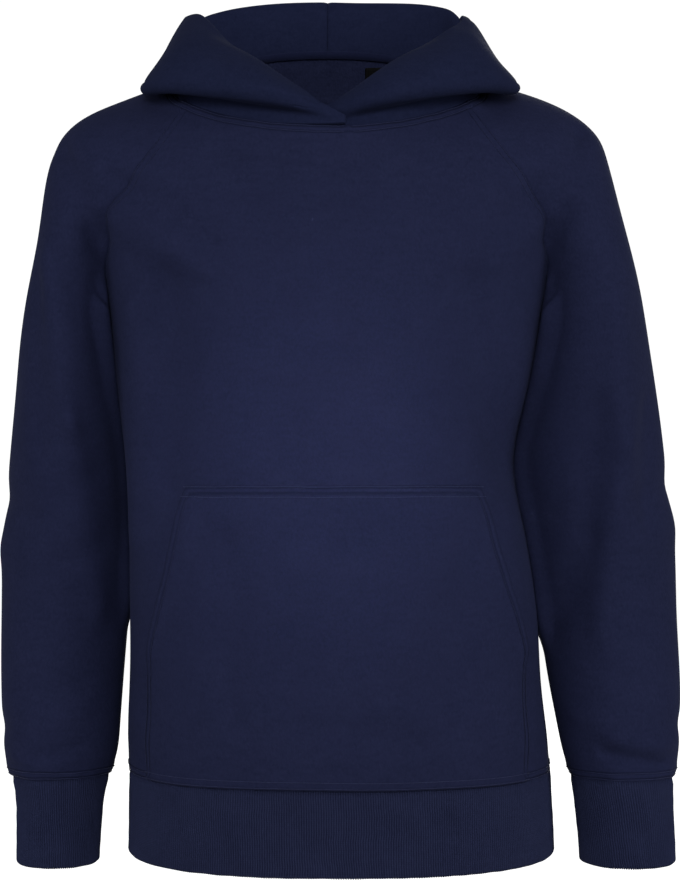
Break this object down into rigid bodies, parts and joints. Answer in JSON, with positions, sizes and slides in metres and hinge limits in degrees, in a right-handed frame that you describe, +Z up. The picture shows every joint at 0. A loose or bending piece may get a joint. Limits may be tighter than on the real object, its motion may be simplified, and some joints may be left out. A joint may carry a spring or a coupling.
{
  "type": "toddler hoodie",
  "caption": "Pullover raglan hoodie for a toddler, hollow as worn, with a crossover hood lying back, a kangaroo pocket and ribbed cuffs and hem.",
  "frame": {"origin": "middle of the neck opening, level with the shoulders, where the garment is held up", "axes": "+Z up, towards the head; -Y the front of the garment; +X the wearer's left"},
  "size_m": [0.3859, 0.2028, 0.4998],
  "materials": {
    "fleece": "brushed sweatshirt fleece, navy, soft nap",
    "hood_fleece": "doubled sweatshirt fleece, navy",
    "rib": "doubled rib knit, navy",
    "label_satin": "woven satin, black"
  },
  "bodies": {
    "root": {"front": "fleece", "back": "fleece", "sleeve_right": "fleece", "sleeve_left": "fleece", "hood_right": "hood_fleece", "hood_left": "hood_fleece", "pocket": "fleece", "hem_band": "rib", "cuff_right": "rib", "cuff_left": "rib", "neck_tape": "fleece", "size_label": "label_satin"}
  },
  "joints": []
}
